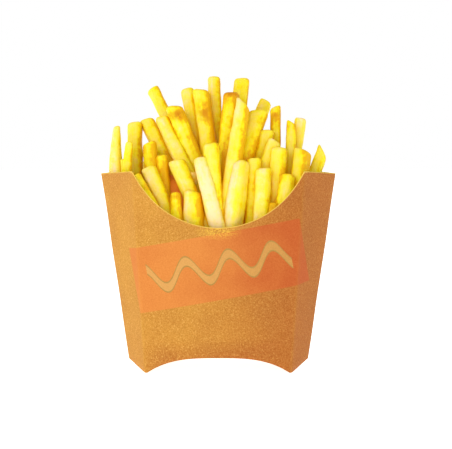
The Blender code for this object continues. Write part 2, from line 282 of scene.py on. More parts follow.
# Colours of the crust, from the most fried to the palest.
CRUST = [(0.0, "#e8b606"), (0.07, "#efce08"), (0.2, "#f2e20e"), (0.6, "#f8e160"), (1.0, "#fde1ac")]


def between(low, high, share):
    return low + (high - low) * share


def linear(text):
    """An sRGB hex colour as linear red, green, blue and alpha."""
    parts = [int(text[at : at + 2], 16) / 255 for at in (1, 3, 5)]
    low = 0.04045
    return [*(c / 12.92 if c <= low else ((c + 0.055) / 1.055) ** 2.4 for c in parts), 1.0]


def feed(tree, node, inputs):
    """Fills a node's inputs. Each takes a value, a socket, or a node's first output."""
    for key, value in inputs.items():
        open_sockets = [socket for socket in node.inputs if socket.enabled]
        named = [socket for socket in open_sockets if key in (socket.name, socket.identifier)]
        socket = named[0] if isinstance(key, str) else open_sockets[key]
        if isinstance(value, bpy.types.Node):
            value = next(output for output in value.outputs if output.enabled)
        if isinstance(value, bpy.types.NodeSocket):
            tree.links.new(value, socket)
        else:
            socket.default_value = value


def add(tree, kind, inputs=None, **settings):
    """Adds a node with its settings and its inputs."""
    node = tree.nodes.new(kind)
    for name, value in settings.items():
        setattr(node, name, value)
    feed(tree, node, inputs or {})
    return node


def new_material(name):
    """A material with an empty Principled shader, as (material, tree, shader)."""
    material = bpy.data.materials.new(name)
    material.use_nodes = True
    tree = material.node_tree
    return material, tree, tree.nodes["Principled BSDF"]


def finish_piece(obj, node):
    """Hands a finished piece over: it rides on the body and stands for the node."""
    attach(obj, "root")
    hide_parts(node)


def link_object(name, data):
    obj = bpy.data.objects.new(name, data)
    bpy.context.scene.collection.objects.link(obj)
    return obj


def link_shape(name, bm):
    """Turns the finished shape into a mesh and links an object with it."""
    mesh = bpy.data.meshes.new(name)
    bm.to_mesh(mesh)
    bm.free()
    return link_object(name, mesh)


def skin(bm, rings):
    """Joins rings of points, from the lowest up, with faces that point outwards."""
    for low, high in zip(rings, rings[1:]):
        for place in range(len(low)):
            after = (place + 1) % len(low)
            bm.faces.new((low[place], low[after], high[after], high[place]))
    bm.faces.new(rings[0][::-1])
    bm.faces.new(rings[-1])


# Materials


def fading_at(edge):
    """The limits over which the ink fades out, this many millimetres from its middle."""
    return {
        "From Min": (edge - INK_FADE) * MM, "From Max": (edge + INK_FADE) * MM,
        "To Min": 1.0, "To Max": 0.0,
    }


def kraft_print(tree, spot, x, y, z):
    """Shares of the printed field, its stripe and the stripe's outline, on the front only."""
    tilt = math.radians(FIELD_TILT)
    ragged_edge = add(
        tree, "ShaderNodeTexNoise", {"Vector": spot, "Scale": INK_EDGES / MM, "Detail": 3.0}
    )
    ragged = add(
        tree, "ShaderNodeMapRange",
        {"Value": ragged_edge, "To Min": -INK_RAGGED * MM, "To Max": INK_RAGGED * MM},
    )
    sideways = add(tree, "ShaderNodeMath", {0: x, 1: FIELD_MIDDLE[0] * MM}, operation="SUBTRACT")
    up = add(tree, "ShaderNodeMath", {0: z, 1: FIELD_MIDDLE[1] * MM}, operation="SUBTRACT")
    along = add(tree, "ShaderNodeMath", {0: sideways, 1: math.cos(tilt)}, operation="MULTIPLY")
    along = add(
        tree, "ShaderNodeMath", {0: up, 1: math.sin(tilt), 2: along}, operation="MULTIPLY_ADD"
    )
    over = add(tree, "ShaderNodeMath", {0: sideways, 1: -math.sin(tilt)}, operation="MULTIPLY")
    over = add(
        tree, "ShaderNodeMath", {0: up, 1: math.cos(tilt), 2: over}, operation="MULTIPLY_ADD"
    )
    field = add(tree, "ShaderNodeMath", {0: y, 1: PRINT_BEFORE_Y * MM}, operation="LESS_THAN")
    for place, size in ((along, FIELD_WIDTH), (over, FIELD_HEIGHT)):
        away = add(tree, "ShaderNodeMath", {0: place}, operation="ABSOLUTE")
        rough = add(tree, "ShaderNodeMath", {0: away, 1: ragged}, operation="ADD")
        share = add(tree, "ShaderNodeMapRange", {"Value": rough, **fading_at(size / 2)})
        field = add(tree, "ShaderNodeMath", {0: share, 1: field}, operation="MULTIPLY")
    turn = add(
        tree, "ShaderNodeMath", {0: along, 1: math.tau / (WAVE_LENGTH * MM)}, operation="MULTIPLY"
    )
    wave = add(tree, "ShaderNodeMath", {0: turn}, operation="SINE")
    from_wave = add(
        tree, "ShaderNodeMath", {0: wave, 1: -WAVE_HEIGHT * MM, 2: over}, operation="MULTIPLY_ADD"
    )
    away = add(tree, "ShaderNodeMath", {0: from_wave}, operation="ABSOLUTE")
    rough = add(
        tree, "ShaderNodeMath", {0: ragged, 1: STRIPE_RAGGED, 2: away}, operation="MULTIPLY_ADD"
    )
    reach = add(tree, "ShaderNodeMath", {0: along}, operation="ABSOLUTE")
    inside = add(
        tree, "ShaderNodeMath", {0: reach, 1: (FIELD_WIDTH / 2 - WAVE_SHORT) * MM},
        operation="LESS_THAN",
    )
    inside = add(tree, "ShaderNodeMath", {0: inside, 1: field}, operation="MULTIPLY")
    bands = []
    for half in (WAVE_STROKE / 2, WAVE_STROKE / 2 + WAVE_LINE):
        band = add(tree, "ShaderNodeMapRange", {"Value": rough, **fading_at(half)})
        bands.append(add(tree, "ShaderNodeMath", {0: band, 1: inside}, operation="MULTIPLY"))
    return field, *bands


def yellow_flecks_share(tree, x, y, z, flecks):
    """Where yellow flecks lie on the board, round the lowest place of the scooped edge."""
    above = add(tree, "ShaderNodeMath", {0: z, 1: -YELLOW_FLECKS_Z * MM}, operation="ADD")
    above = add(tree, "ShaderNodeMath", {0: above, 1: YELLOW_FLECKS_FLAT}, operation="MULTIPLY")
    from_middle = add(tree, "ShaderNodeCombineXYZ", {0: x, 2: above})
    away = add(tree, "ShaderNodeVectorMath", {0: from_middle}, operation="LENGTH")
    near = add(
        tree, "ShaderNodeMapRange",
        {"Value": away.outputs["Value"], "From Min": YELLOW_FLECKS_NEAR * MM, "From Max": YELLOW_FLECKS_FAR * MM,
         "To Min": 1.0, "To Max": 0.0},
    )
    yellow_flecks = add(
        tree, "ShaderNodeMapRange",
        {"Value": flecks, "From Min": 0.42, "From Max": 0.58, "To Max": 0.7},
    )
    yellow_flecks = add(tree, "ShaderNodeMath", {0: yellow_flecks, 1: near}, operation="MULTIPLY")
    on_front = add(tree, "ShaderNodeMath", {0: y, 1: 0.0}, operation="LESS_THAN")
    return add(tree, "ShaderNodeMath", {0: yellow_flecks, 1: on_front}, operation="MULTIPLY")


def kraft_board_material():
    """Unbleached kraft board, rolled and die cut: warm brown, matte, with short fibres that show as
    light and dark specks. The print is a thin, uneven ink that leaves the fibres showing. Board and
    print are painted darker and redder towards the right as shade, and a highlight is painted along
    the cut edge."""
    material, tree, shader = new_material("kraft board, rolled")
    spot = add(tree, "ShaderNodeTexCoord").outputs["Object"]
    x, y, z = add(tree, "ShaderNodeSeparateXYZ", {0: spot}).outputs
    fibres = add(
        tree, "ShaderNodeTexNoise",
        {"Vector": spot, "Scale": FIBRES / MM, "Detail": 3.0, "Roughness": 0.65},
    )
    speck = add(tree, "ShaderNodeMapRange", {"Value": fibres, "From Min": 0.35, "From Max": 0.65})
    clouds = add(tree, "ShaderNodeTexNoise", {"Vector": spot, "Scale": CLOUDS / MM, "Detail": 4.0})
    clouds = add(tree, "ShaderNodeMapRange", {"Value": clouds, "From Min": 0.35, "From Max": 0.65})
    # Two copies of the kraft: the yellower one as lit from the left, the darker redder one as painted
    # shade on the right, also used for the redder kraft above the arched fold.
    lit_yellower, shaded_redder = [
        add(
            tree, "ShaderNodeMix", {"Factor": clouds, "A": linear(dark), "B": linear(light)},
            data_type="RGBA",
        )
        for dark, light in (("#b27825", "#bc842b"), ("#99500e", "#a05610"))
    ]
    # Painted shade: the board darkens towards the right, away from the key light.
    painted_shade_right = add(
        tree, "ShaderNodeMapRange",
        {"Value": x, "From Min": PAINTED_SHADE_X[0] * MM, "From Max": PAINTED_SHADE_X[1] * MM},
    )
    low = add(
        tree, "ShaderNodeMapRange",
        {"Value": z, "From Min": REDDER_Z[0] * MM, "From Max": REDDER_Z[1] * MM, "To Min": 0.6,
         "To Max": 0.0},
    )
    aside = add(tree, "ShaderNodeMath", {0: x}, operation="ABSOLUTE")
    over_arch = add(
        tree, "ShaderNodeMapRange",
        {"Value": aside, "From Min": ARCH_END_X[0] * MM, "From Max": ARCH_END_X[1] * MM,
         "To Min": 1.0, "To Max": 0.0},
    )
    redder_and_shaded = add(
        tree, "ShaderNodeMath", {0: low, 1: over_arch, 2: painted_shade_right}, operation="MULTIPLY_ADD",
        use_clamp=True,
    )
    colour = add(
        tree, "ShaderNodeMix", {"Factor": redder_and_shaded, "A": lit_yellower, "B": shaded_redder}, data_type="RGBA"
    )

    field, stroke, outline = kraft_print(tree, spot, x, y, z)
    # The ink is painted darker towards the right as shade, on top of its random unevenness; the bare
    # stripe darkens the same way.
    uneven = add(tree, "ShaderNodeMapRange", {"Value": clouds, "To Min": -0.14, "To Max": 0.2})
    inkier_and_shaded = add(
        tree, "ShaderNodeMath", {0: painted_shade_right, 1: uneven}, operation="ADD", use_clamp=True
    )
    ink, bare = [
        add(
            tree, "ShaderNodeMix", {"Factor": share, "A": linear(left), "B": linear(right)},
            data_type="RGBA",
        )
        for share, left, right in ((inkier_and_shaded, "#ca7b35", "#b04f1c"), (painted_shade_right, "#c5924e", "#b78542"))
    ]
    for share, over in ((field, ink), (outline, linear("#9a7b3b")), (stroke, bare)):
        colour = add(
            tree, "ShaderNodeMix", {"Factor": share, "A": colour, "B": over}, data_type="RGBA"
        )

    specks = []
    for bare_share, inked_share, over in ((0.24, 0.09, "#7a3d12"), (0.2, 0.08, "#f2bd6a")):
        share = add(
            tree, "ShaderNodeMapRange",
            {"Value": field, "To Min": bare_share, "To Max": inked_share},
        )
        specks.append(add(
            tree, "ShaderNodeMix", {"Factor": share, "A": colour, "B": linear(over)},
            data_type="RGBA",
        ))
    colour = add(
        tree, "ShaderNodeMix", {"Factor": speck, "A": specks[0], "B": specks[1]}, data_type="RGBA"
    )

    flecks = add(tree, "ShaderNodeTexNoise", {"Vector": spot, "Scale": FLECKS / MM, "Detail": 2.0})
    pale_flecks = add(
        tree, "ShaderNodeMapRange",
        {"Value": flecks, "From Min": 0.56, "From Max": 0.68, "To Max": 0.32},
    )
    unprinted = add(tree, "ShaderNodeMath", {0: 1.0, 1: field}, operation="SUBTRACT")
    # Pale flecks thin out towards the right, as part of the painted shade there.
    lit_leftwards = add(
        tree, "ShaderNodeMapRange", {"Value": painted_shade_right, "To Min": 1.0, "To Max": 0.45}
    )
    unprinted = add(tree, "ShaderNodeMath", {0: unprinted, 1: lit_leftwards}, operation="MULTIPLY")
    pale_flecks = add(
        tree, "ShaderNodeMath", {0: pale_flecks, 1: unprinted}, operation="MULTIPLY"
    )
    yellow_flecks = yellow_flecks_share(tree, x, y, z, flecks)
    # Along the cut edge the bright yellow line is partly crushed board and partly a painted
    # highlight; along the folds it is wear.
    wear_and_highlight = add(tree, "ShaderNodeAttribute", attribute_name="wear_and_highlight").outputs["Fac"]
    for share, over in ((pale_flecks, "#e6b860"), (yellow_flecks, "#dcb23e"), (wear_and_highlight, "#fbd960")):
        colour = add(
            tree, "ShaderNodeMix", {"Factor": share, "A": colour, "B": linear(over)},
            data_type="RGBA",
        )
    bump = add(tree, "ShaderNodeBump", {"Height": fibres, "Strength": 0.25, "Distance": 0.1 * MM})
    feed(tree, shader, {
        "Base Color": colour, "Normal": bump, "Roughness": 0.75, "Specular IOR Level": 0.2,
    })
    return material


def mottled_material(name, marks, detail, first, second, roughness):
    """A plain surface in two close colours, mixed in small marks."""
    material, tree, shader = new_material(name)
    spot = add(tree, "ShaderNodeTexCoord").outputs["Object"]
    mottle = add(
        tree, "ShaderNodeTexNoise", {"Vector": spot, "Scale": marks / MM, "Detail": detail}
    )
    colour = add(
        tree, "ShaderNodeMix", {"Factor": mottle, "A": linear(first), "B": linear(second)},
        data_type="RGBA",
    )
    feed(tree, shader, {"Base Color": colour, "Roughness": roughness})
    return material


def coated_side_material():
    """Bleached, grease-proof coated side of the board: pale cream, smoother, with a faint sheen."""
    return mottled_material("bleached board, coated", COAT_FIBRES, 3.0, "#faecc0", "#fff8dc", 0.5)


def cut_edge_and_highlight_material():
    """Die-cut edge of the board, where its pale core shows: rough and fibrous, painted bright yellow
    as a highlight.
    """
    return mottled_material("cut board edge", CUT_FIBRES, 2.0, "#e8b83e", "#fbd868", 0.85)


def deep_heap_material():
    """Crust of the fries deep in the heap: the same crust, redder for the little light there."""
    return mottled_material("fried potato, deep", PATCHES, 3.0, "#ee640c", "#f8a810", 0.6)


def fried_potato_material():
    """Fried potato: pale, moist flesh under a thin yellow to golden crust. Light goes a few
    millimetres into it, and the oil on it gives a soft sheen. Seams between fries and sides turned
    from the front are painted more golden as shade, and the left side partly paler as painted light."""
    material, tree, shader = new_material("fried potato, cut")
    spot = add(tree, "ShaderNodeTexCoord").outputs["Object"]
    section = add(tree, "ShaderNodeAttribute", attribute_name="section").outputs["Vector"]
    across, deep, along = add(tree, "ShaderNodeSeparateXYZ", {0: section}).outputs
    own, pale, paler_and_lit_left, close, brown = [
        add(tree, "ShaderNodeAttribute", attribute_name=name).outputs["Fac"]
        for name in ("own", "pale", "paler_and_lit_left", "close", "browned")
    ]
    own_length = add(
        tree, "ShaderNodeMath", {0: own, 1: OWN_STREAKS, 2: along}, operation="MULTIPLY_ADD"
    )
    streaked = add(tree, "ShaderNodeCombineXYZ", {0: across, 1: deep, 2: own_length})
    patches, grain, lumps, blots, streaks = [
        add(tree, "ShaderNodeTexNoise", {"Vector": place, "Scale": scale, "Detail": detail})
        for place, scale, detail in (
            (spot, PATCHES / MM, 2.0),
            (spot, GRAINS / MM, 3.0),
            (spot, LUMPS / MM, 2.0),
            (spot, BLOTS / MM, 4.0),
            (streaked, STREAKS, 2.0),
        )
    ]
    # The corners of the section are painted more golden: partly crisper crust, partly painted shade.
    corners_browned_and_shaded = add(tree, "ShaderNodeMath", {0: across, 1: deep}, operation="MULTIPLY")
    corners_browned_and_shaded = add(tree, "ShaderNodeMath", {0: corners_browned_and_shaded}, operation="ABSOLUTE")
    # Painted shade: surfaces turned away from the front are painted more golden.
    facing = add(tree, "ShaderNodeNewGeometry").outputs["Normal"]
    facing = add(tree, "ShaderNodeSeparateXYZ", {0: facing}).outputs["Y"]
    facing = add(tree, "ShaderNodeMath", {0: facing}, operation="ABSOLUTE")
    painted_shade_flank = add(
        tree, "ShaderNodeMapRange",
        {"Value": facing, "From Min": 0.1, "From Max": 0.75, "To Min": 0.24, "To Max": 0.0},
    )

    # The left side is paler: partly paler flesh, partly painted light from the left.
    left = add(tree, "ShaderNodeMath", {0: across, 1: -1.0}, operation="MULTIPLY")
    tone = add(tree, "ShaderNodeMath", {0: left, 1: paler_and_lit_left, 2: pale}, operation="MULTIPLY_ADD")
    for value, most, least, highest in (
        (patches, 0.7, -0.12, 0.22),
        (lumps, 0.7, -0.15, 0.15),
        (streaks, 0.7, -0.13, 0.13),
        (corners_browned_and_shaded, 0.75, 0.0, -0.22),
    ):
        change = add(
            tree, "ShaderNodeMapRange",
            {"Value": value, "From Min": 0.3, "From Max": most, "To Min": least,
             "To Max": highest},
        )
        tone = add(tree, "ShaderNodeMath", {0: tone, 1: change}, operation="ADD")
    tone = add(tree, "ShaderNodeMath", {0: tone, 1: painted_shade_flank}, operation="SUBTRACT")
    # Painted shade: points sunk between fries turn towards a deeper golden crust.
    for share, weight in ((close, -0.4), (brown, -0.6)):
        tone = add(
            tree, "ShaderNodeMath", {0: share, 1: weight, 2: tone}, operation="MULTIPLY_ADD"
        )

    crust = add(tree, "ShaderNodeValToRGB", {"Fac": tone})
    ramp = crust.color_ramp.elements
    for _ in range(len(CRUST) - len(ramp)):
        ramp.new(0.5)
    for stop, (position, colour) in zip(ramp, CRUST):
        stop.position = position
        stop.color = linear(colour)
    # Painted shade: points sunk between fries and sides turned from the front mix towards a deeper
    # golden.
    painted_shade_golden = add(
        tree, "ShaderNodeMapRange",
        {"Value": close, "From Min": 0.36, "From Max": 0.78, "To Max": 0.9},
    )
    painted_shade_golden = add(
        tree, "ShaderNodeMath", {0: painted_shade_flank, 1: 0.7, 2: painted_shade_golden}, operation="MULTIPLY_ADD",
        use_clamp=True,
    )
    spotted = add(tree, "ShaderNodeMapRange", {"Value": blots, "From Min": 0.37, "From Max": 0.53})
    spotted = add(tree, "ShaderNodeMath", {0: brown, 1: spotted}, operation="MULTIPLY")
    colour = crust.outputs["Color"]
    for share, over in ((painted_shade_golden, "#f8bf0a"), (spotted, "#c07000")):
        colour = add(
            tree, "ShaderNodeMix", {"Factor": share, "A": colour, "B": linear(over)},
            data_type="RGBA",
        )
    lumpy = add(tree, "ShaderNodeBump", {"Height": lumps, "Strength": 0.6, "Distance": 0.9 * MM})
    bump = add(
        tree, "ShaderNodeBump",
        {"Height": grain, "Strength": 0.35, "Distance": 0.2 * MM, "Normal": lumpy},
    )
    feed(tree, shader, {
        "Base Color": colour,
        "Normal": bump,
        "Roughness": 0.5,
        "Specular IOR Level": 0.16,
        "Subsurface Weight": 0.4,
        "Subsurface Radius": (1.0, 0.8, 0.5),
        "Subsurface Scale": 1.5 * MM,
    })
    return material


# The scoop


def half_front(z):
    """Half the width of the front and the back panel at this height."""
    return between(FOOT_HALF_FRONT, RIM_HALF_FRONT, z / RIM_Z)


def half_depth(z):
    """Distance from the middle to the upright folds of the front and the back panel."""
    return between(FOOT_HALF_DEPTH, RIM_HALF_DEPTH, z / RIM_Z)


def half_side(z):
    """Half the width across the outermost folds."""
    return between(FOOT_HALF_SIDE, RIM_HALF_SIDE, (z - SIDE_FOOT_Z) / (SIDE_TOP_Z - SIDE_FOOT_Z))


def arch(across):
    """Height of the arched bottom fold, for -1 to 1 across the panel."""
    share = min(1.0, abs(across) / (1.0 - STANDING_STRIP / FOOT_HALF_FRONT))
    return ARCH_RISE * (1.0 - share**ARCH_POWER)


def scoop(across):
    """Height of the front panel's scooped top edge."""
    rise = SCOOP_ROUND * across**2 + (1.0 - SCOOP_ROUND) * across**6
    return RIM_Z - SCOOP_DEPTH * (1.0 - rise)


def column_heights(low, top, edge=CUT_EDGE):
    """Heights up one column, with the last step as narrow as the cut edge."""
    steps = [between(low, top - edge, row / WALL_ROWS) for row in range(WALL_ROWS + 1)]
    return [*steps, top]


def panel_column(across, side, top):
    """Points up the front (side -1) or the back (side 1) panel."""
    bow = (FRONT_BOW if side < 0 else BACK_BOW) * (1.0 - across**2)
    edge = CUT_EDGE
    if side < 0 and across:
        step = SLOPE_STEP * abs(across) * RIM_HALF_FRONT
        slope = (scoop(across) - scoop(across * (1.0 - SLOPE_STEP))) / step
        edge *= math.hypot(1.0, slope)
    heights = column_heights(arch(across), top, edge)
    return [Vector((across * half_front(z), side * (half_depth(z) + bow), z)) for z in heights]


def gusset_column(share, hand, side):
    """Points up a folded side, from the panel's fold (share 0) to the outermost one (share 1)."""
    column = []
    for low, high in zip(column_heights(0.0, RIM_Z), column_heights(SIDE_FOOT_Z, SIDE_TOP_Z)):
        inner = Vector((hand * half_front(low), side * half_depth(low), low))
        outer = Vector((hand * half_side(high), 0.0, high))
        column.append(inner.lerp(outer, share))
    return column


def wall_columns():
    """Every column of the wall, once round from the front panel's left fold."""
    steps = range(PANEL_COLUMNS + 1)
    across = [2.0 * step / PANEL_COLUMNS - 1.0 for step in steps]
    columns = [panel_column(u, -1, scoop(u)) for u in across]
    shares = [step / GUSSET_COLUMNS for step in range(1, GUSSET_COLUMNS + 1)]
    columns += [gusset_column(share, 1, -1) for share in shares]
    columns += [gusset_column(share, 1, 1) for share in reversed(shares[:-1])]
    columns += [panel_column(-u, 1, RIM_Z) for u in across]
    columns += [gusset_column(share, -1, 1) for share in shares]
    columns += [gusset_column(share, -1, -1) for share in reversed(shares[:-1])]
    return columns


def fold_columns():
    """The place in the round of each upright fold: where a panel ends, or a side folds in half."""
    back = PANEL_COLUMNS + 2 * GUSSET_COLUMNS
    half_turn = [0, PANEL_COLUMNS, PANEL_COLUMNS + GUSSET_COLUMNS]
    return {*half_turn, *(back + place for place in half_turn)}


def with_rounded_folds(columns):
    """The columns, with each fold drawn as a small arc of columns. Returns them with their wear."""
    rounded = []
    folds = fold_columns()
    for place, column in enumerate(columns):
        if place not in folds:
            rounded.append((column, 0.0))
            continue
        before = columns[place - 1]
        after = columns[(place + 1) % len(columns)]
        reach = [FOLD_RADIUS / (other[0] - column[0]).length for other in (before, after)]
        start = [point.lerp(other, reach[0]) for point, other in zip(column, before)]
        end = [point.lerp(other, reach[1]) for point, other in zip(column, after)]
        middle = [(a + b + 2.0 * point) / 4.0 for a, b, point in zip(start, end, column)]
        rounded += [(start, 0.5), (middle, 1.0), (end, 0.5)]
    return rounded


def warped(point):
    """The point moved as slightly as board that has been folded open never lies quite flat."""
    x, y, z = point
    lift = min(1.0, z / WARP_FROM_Z) * WARP * noise.noise(point / WARP_SIZE)
    out = Vector((x * WARP_SIDEWAYS, y, 0.0)).normalized()
    return point + out * lift


def make_carton():
    """The folded board scoop, with rounded folds, worn fold lines and pale cut edges, with a
    highlight painted along the cut edge.
    """
    bm = bmesh.new()
    wear_and_highlight = bm.verts.layers.float.new("wear_and_highlight")
    rounded = with_rounded_folds(wall_columns())
    columns = [[bm.verts.new(warped(p) * MM) for p in column] for column, _ in rounded]
    for column, (_, wear) in zip(columns, rounded):
        for vert in column[:-1]:
            vert[wear_and_highlight] = wear * FOLD_WEAR
        # The top row, along the cut edge, gets a bright yellow line: partly crushed board, partly a
        # painted highlight.
        column[-1][wear_and_highlight] = EDGE_WEAR_AND_HIGHLIGHT
    for here, after in zip(columns, columns[1:] + columns[:1]):
        for row in range(len(here) - 1):
            bm.faces.new((here[row], after[row], after[row + 1], here[row + 1]))

    # The arched fold joins the feet of the two panels, and closes the ends below the folded sides.
    feet = [column[0] for column in columns]
    half_round = len(feet) // 2
    last = PANEL_COLUMNS + 2
    front_feet = feet[1 : last + 1]
    back_feet = feet[half_round + 1 : half_round + last + 1][::-1]
    for step in range(last - 1):
        ring = (front_feet[step], back_feet[step], back_feet[step + 1], front_feet[step + 1])
        bm.faces.new(ring)
    bm.faces.new(feet[last : half_round + 2])
    bm.faces.new(feet[half_round + last :] + feet[:2])

    bmesh.ops.recalc_face_normals(bm, faces=bm.faces)
    for face in bm.faces:
        face.smooth = True
    board = link_shape("carton_board", bm)
    for material in (kraft_board_material(), coated_side_material(), cut_edge_and_highlight_material()):
        board.data.materials.append(material)
    wall = board.modifiers.new("Board", "SOLIDIFY")
    wall.thickness = BOARD * MM
    wall.offset = -1.0
    wall.use_even_offset = True
    wall.material_offset = 1
    wall.material_offset_rim = 2
    finish_piece(board, "carton")


# The fries


def room(x, z, half):
    """How far to the front or back the middle of a bar this thick may lie in the scoop."""
    edge = abs(x) + half
    fold = half_front(z)
    if edge <= fold:
        return half_depth(z) - BOARD - GAP - half
    slope = half_depth(z) / (half_side(z) - fold)
    return (half_side(z) - edge) * slope - (BOARD + GAP) * math.hypot(1.0, slope) - half


def held_inside(point, half):
    """The point, moved in as far as the scoop needs."""
    x, y, z = point
    while room(x, z, half) < 0.0:
        x *= NUDGE
    depth = room(x, z, half)
    return Vector((x, max(-depth, min(depth, y)), z))


def overhang(point, half):
    """How far a point is out through the front or back wall, or past what may lean over it."""
    depth = room(point.x, min(point.z, RIM_Z), half)
    return abs(point.y) - depth - max(0.0, point.z - RIM_Z) * LEAN_OVER


class Fry:
    """One fry: a squared bar along a gentle curve through its foot, waist and tip."""

    def __init__(self, tip, waist, width, turn, point, cut, pale, paler_and_lit_left, brown, brown_at=1.0):
        self.tip = Vector(tip)
        self.waist = Vector(waist)
        self.width = width
        self.turn = math.radians(turn)
        corner = math.cos(self.turn) + FRY_ROUNDING * abs(math.sin(self.turn))
        self.half_span = width * (corner / 2 + SPARE)
        self.point = point
        self.cut = cut
        self.pale = pale
        self.paler_and_lit_left = paler_and_lit_left
        self.brown = brown
        self.brown_at = brown_at
        down = (self.waist - self.tip).normalized()
        down.z = min(down.z, -LEAST_DROP)
        self.foot = self.waist + down * ((FOOT_Z - self.waist.z) / down.z)
        self.settle()

    def settle(self):
        """Moves the fry in until the scoop's walls clear it."""
        self.foot = held_inside(self.foot, self.half_span)
        for share in SETTLE_AT:
            point = self.spine(share)
            out = max(0.0, overhang(point, self.half_span))
            self.waist.y -= math.copysign(out, point.y)
            self.tip.y -= math.copysign(out, point.y)

    def shift(self, back):
        for point in (self.foot, self.waist, self.tip):
            point.y += back
        self.settle()

    def control(self):
        """The middle point of the curve that runs from foot to tip through the waist."""
        low = (self.waist - self.foot).length
        at = low / (low + (self.tip - self.waist).length)
        ends = self.foot * (1.0 - at) ** 2 + self.tip * at**2
        return (self.waist - ends) / (2.0 * at * (1.0 - at))

    def spine(self, share):
        """The curve's point, with share 0 at the foot and 1 at the tip."""
        rest = 1.0 - share
        ends = self.foot * rest**2 + self.tip * share**2
        return ends + self.control() * (2.0 * rest * share)


def spread_apart(fries):
    """Moves fries that run through each other apart, from front to back only."""
    widths = np.array([fry.width for fry in fries])
    needed = (widths[:, None] + widths[None, :]) * 0.5
    for _ in range(SPREAD_ROUNDS):
        points = np.array([[fry.spine(share) for share in SPREAD_AT] for fry in fries])
        steps = points[:, None, :, None, :] - points[None, :, None, :, :]
        distance = np.linalg.norm(steps, axis=-1).reshape(len(fries), len(fries), -1)
        nearest = distance.argmin(axis=-1)
        close = np.take_along_axis(distance, nearest[..., None], axis=-1)[..., 0]
        depths = steps[..., 1].reshape(distance.shape)
        depth = np.take_along_axis(depths, nearest[..., None], axis=-1)[..., 0]
        overlap = np.clip(needed - close, 0.0, None)
        np.fill_diagonal(overlap, 0.0)
        moves = (np.sign(depth) * overlap).sum(axis=1) * SPREAD_STEP
        for fry, move in zip(fries, moves):
            fry.shift(float(max(-MOST_MOVE, min(MOST_MOVE, move))))


def settled_fries():
    """All the fries of the heap, the measured ones first and the filling ones after them."""
    fries = [Fry(*row) for row in SHOWN]
    draw = random.Random(SEED)
    tint = random.Random(SEED + 1)
    for depth, reach, count, under in FILL_ROWS:
        for step in range(count):
            x = between(-reach, reach, step / (count - 1)) + draw.uniform(-SHUFFLE, SHUFFLE)
            z = DOME_Z - DOME_FALL * x * x - under - draw.uniform(0.0, UNEVEN)
            lean = x * LEAN_OUT + draw.uniform(-MOST_LEAN, MOST_LEAN)
            tip = (x + lean, depth + draw.uniform(-SHUFFLE, SHUFFLE), z)
            waist = (x, depth + draw.uniform(-SHUFFLE, SHUFFLE), z - WAIST_BELOW)
            width = draw.uniform(*FILL_WIDTHS)
            turn = draw.uniform(-FILL_TURN, FILL_TURN)
            point = draw.choice(FILL_POINTS)
            cut = draw.uniform(-FILL_CUT, FILL_CUT)
            looks = (tint.uniform(*FILL_PALES), tint.uniform(*FILL_PALER_AND_LIT_LEFT), tint.choice(FILL_BROWNS))
            fries.append(Fry(tip, waist, width, turn, point, cut, *looks))
    spread_apart(fries)
    return fries


def squared(angle):
    """A point of a square section with rounded corners, at this angle."""
    c, s = math.cos(angle), math.sin(angle)
    reach = (abs(c) ** CORNER_POWER + abs(s) ** CORNER_POWER) ** (-1.0 / CORNER_POWER)
    return c * reach, s * reach


def blank_rings():
    """(height, shrink, set back) of each ring of a plain fry, from its foot to its rounded end."""
    rings = []
    for ring in range(FRY_RINGS + 1):
        height = ring / FRY_RINGS
        rings.append((height, 1.0, -END_ROUND * height * height))
    for ring in range(1, END_RINGS + 1):
        angle = math.pi / 2 * ring / END_RINGS
        shrink = 1.0 - END_ROUND * (1.0 - math.cos(angle))
        rings.append((1.0, shrink, -END_ROUND * (1.0 - math.sin(angle))))
    rings.append((1.0, (1.0 - END_ROUND) * 0.5, 0.05))
    return rings


def blank_fry():
    """A plain fry whose points carry where they belong on any fry, as attributes."""
    bm = bmesh.new()
    section = bm.verts.layers.float_vector.new("section")
    set_back = bm.verts.layers.float.new("set_back")
    rings = []
    for height, shrink, back in blank_rings():
        ring = []
        for step in range(FRY_SIDES):
            u, v = squared(math.tau * (step + 0.5) / FRY_SIDES)
            vert = bm.verts.new((u * shrink, v * shrink, height * BLANK_LENGTH + back))
            vert[section] = Vector((u * shrink, v * shrink, height))
            vert[set_back] = back
            ring.append(vert)
        rings.append(ring)
    skin(bm, rings)
    return link_shape("blank_fry", bm)


def fry_points(fries):
    """One point for each fry, which carries its shape and its looks as attributes."""
    mesh = bpy.data.meshes.new("fry_points")
    mesh.from_pydata([fry.foot * MM for fry in fries], [], [])
    vectors = {
        "foot": [fry.foot * MM for fry in fries],
        "control": [fry.control() * MM for fry in fries],
        "tip": [fry.tip * MM for fry in fries],
        "side": [Vector((math.cos(fry.turn), -math.sin(fry.turn), 0.0)) for fry in fries],
    }
    numbers = {
        "half_width": [fry.width * MM / 2 for fry in fries],
        "point": [fry.point for fry in fries],
        "cut": [fry.cut for fry in fries],
        "pale": [fry.pale for fry in fries],
        "paler_and_lit_left": [fry.paler_and_lit_left for fry in fries],
        "own": [float(number) for number in range(len(fries))],
    }
    for name, values in vectors.items():
        layer = mesh.attributes.new(name, "FLOAT_VECTOR", "POINT")
        layer.data.foreach_set("vector", np.array(values, np.float32).ravel())
    for name, values in numbers.items():
        layer = mesh.attributes.new(name, "FLOAT", "POINT")
        layer.data.foreach_set("value", np.array(values, np.float32))
    return link_object("fry_points", mesh)


def read(tree, name, kind="FLOAT"):
    return add(tree, "GeometryNodeInputNamedAttribute", {"Name": name}, data_type=kind)


